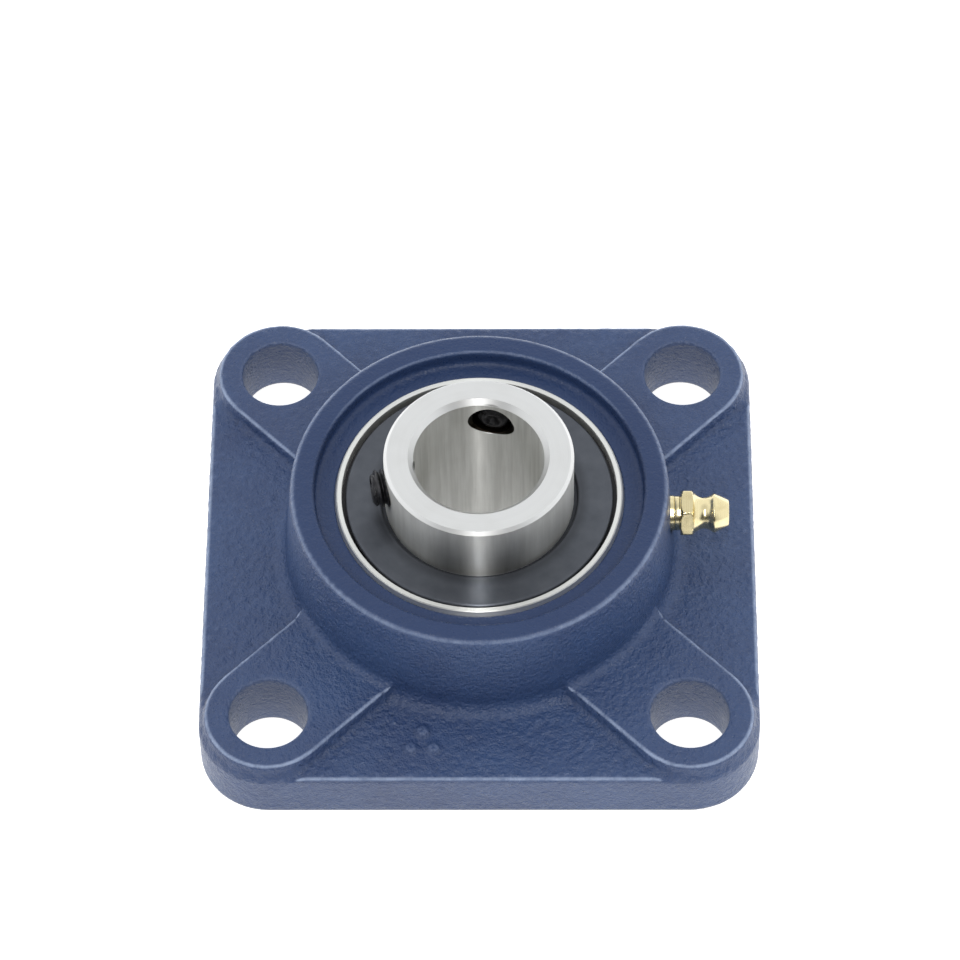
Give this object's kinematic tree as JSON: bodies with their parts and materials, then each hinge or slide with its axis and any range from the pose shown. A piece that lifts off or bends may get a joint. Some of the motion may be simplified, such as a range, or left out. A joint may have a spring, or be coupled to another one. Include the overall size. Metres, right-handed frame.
{
  "type": "flange mount bearing",
  "caption": "Square cast-iron flange housing with a self-aligning wide-inner-ring insert ball bearing, set-screw shaft locking and a side grease nipple.",
  "frame": {"origin": "centre of the square mounting face, on the shaft axis", "axes": "+Z along the shaft axis away from the mounting face, +X towards the grease nipple"},
  "size_m": [0.0856, 0.0856, 0.0333],
  "materials": {
    "blue_casting": "satin navy-blue enamel over as-cast iron, rounded edges rubbed lighter",
    "ring_steel": "turned and ground bearing steel, fine circular tool marks",
    "ball_steel": "polished bearing balls",
    "seal_shell_steel": "pressed sheet steel under a thin bonded black rubber skin",
    "cage_steel": "pressed strip steel, slightly dull",
    "spring_steel": "drawn spring wire",
    "seal_rubber": "matt black nitrile rubber",
    "slinger_black": "black coated pressed steel, satin",
    "screw_black_oxide": "black oxide on alloy steel",
    "nipple_brass": "machined yellow brass"
  },
  "bodies": {
    "housing": {"housing": "blue_casting", "grease_nipple_body": "nipple_brass", "nipple_spring": "spring_steel"},
    "nipple_ball": {"nipple_check_ball": "ball_steel"},
    "insert": {"outer_ring": "ring_steel", "seal_front_shell": "seal_shell_steel", "seal_front_lip": "seal_rubber", "seal_rear_shell": "seal_shell_steel", "seal_rear_lip": "seal_rubber"},
    "shaft_side": {"inner_ring": "ring_steel", "slinger_front": "slinger_black", "slinger_rear": "slinger_black"},
    "set_screw_1": {"set_screw_1": "screw_black_oxide"},
    "set_screw_2": {"set_screw_2": "screw_black_oxide"},
    "cage": {"cage_front_half": "cage_steel", "cage_rear_half": "cage_steel", "cage_rivets": "cage_steel"},
    "ball_1": {"ball_1": "ball_steel"},
    "ball_2": {"ball_2": "ball_steel"},
    "ball_3": {"ball_3": "ball_steel"},
    "ball_4": {"ball_4": "ball_steel"},
    "ball_5": {"ball_5": "ball_steel"},
    "ball_6": {"ball_6": "ball_steel"},
    "ball_7": {"ball_7": "ball_steel"},
    "ball_8": {"ball_8": "ball_steel"}
  },
  "joints": [
    {"name": "insert_tilt", "type": "hinge", "parent": "housing", "child": "insert", "pos_m": [0, 0, 0.015], "axis": [0, 1, 0], "range_deg": [-2, 2]},
    {"name": "shaft_spin", "type": "hinge", "parent": "insert", "child": "shaft_side", "pos_m": [0, 0, 0.015], "axis": [0, 0, 1], "continuous": true},
    {"name": "cage_spin", "type": "hinge", "parent": "insert", "child": "cage", "pos_m": [0, 0, 0.015], "axis": [0, 0, 1], "continuous": true},
    {"name": "ball_1_roll", "type": "hinge", "parent": "cage", "child": "ball_1", "pos_m": [0.01675, 0, 0.015], "axis": [0, 0, 1], "continuous": true},
    {"name": "ball_2_roll", "type": "hinge", "parent": "cage", "child": "ball_2", "pos_m": [0.01184, 0.01184, 0.015], "axis": [0, 0, 1], "continuous": true},
    {"name": "ball_3_roll", "type": "hinge", "parent": "cage", "child": "ball_3", "pos_m": [0, 0.01675, 0.015], "axis": [0, 0, 1], "continuous": true},
    {"name": "ball_4_roll", "type": "hinge", "parent": "cage", "child": "ball_4", "pos_m": [-0.01184, 0.01184, 0.015], "axis": [0, 0, 1], "continuous": true},
    {"name": "ball_5_roll", "type": "hinge", "parent": "cage", "child": "ball_5", "pos_m": [-0.01675, 0, 0.015], "axis": [0, 0, 1], "continuous": true},
    {"name": "ball_6_roll", "type": "hinge", "parent": "cage", "child": "ball_6", "pos_m": [-0.01184, -0.01184, 0.015], "axis": [0, 0, 1], "continuous": true},
    {"name": "ball_7_roll", "type": "hinge", "parent": "cage", "child": "ball_7", "pos_m": [0, -0.01675, 0.015], "axis": [0, 0, 1], "continuous": true},
    {"name": "ball_8_roll", "type": "hinge", "parent": "cage", "child": "ball_8", "pos_m": [0.01184, -0.01184, 0.015], "axis": [0, 0, 1], "continuous": true},
    {"name": "set_screw_1_travel", "type": "slide", "parent": "shaft_side", "child": "set_screw_1", "axis": [-0.1908, -0.9816, 0], "range_m": [-0.0033, 0.0003]},
    {"name": "set_screw_2_travel", "type": "slide", "parent": "shaft_side", "child": "set_screw_2", "axis": [0.9848, 0.1736, 0], "range_m": [-0.002, 0.0016]},
    {"name": "nipple_ball_push", "type": "slide", "parent": "housing", "child": "nipple_ball", "axis": [-1, 0, 0], "range_m": [0, 0.0008], "stiffness_N_per_m": 500, "springref_m": -0.0005, "deforming": ["nipple_spring"]}
  ],
  "couplings": [
    {"joint": "cage_spin", "follows": "shaft_spin", "ratio": 0.38152},
    {"joint": "ball_1_roll", "follows": "shaft_spin", "ratio": -1.9916},
    {"joint": "ball_2_roll", "follows": "shaft_spin", "ratio": -1.9916},
    {"joint": "ball_3_roll", "follows": "shaft_spin", "ratio": -1.9916},
    {"joint": "ball_4_roll", "follows": "shaft_spin", "ratio": -1.9916},
    {"joint": "ball_5_roll", "follows": "shaft_spin", "ratio": -1.9916},
    {"joint": "ball_6_roll", "follows": "shaft_spin", "ratio": -1.9916},
    {"joint": "ball_7_roll", "follows": "shaft_spin", "ratio": -1.9916},
    {"joint": "ball_8_roll", "follows": "shaft_spin", "ratio": -1.9916}
  ]
}
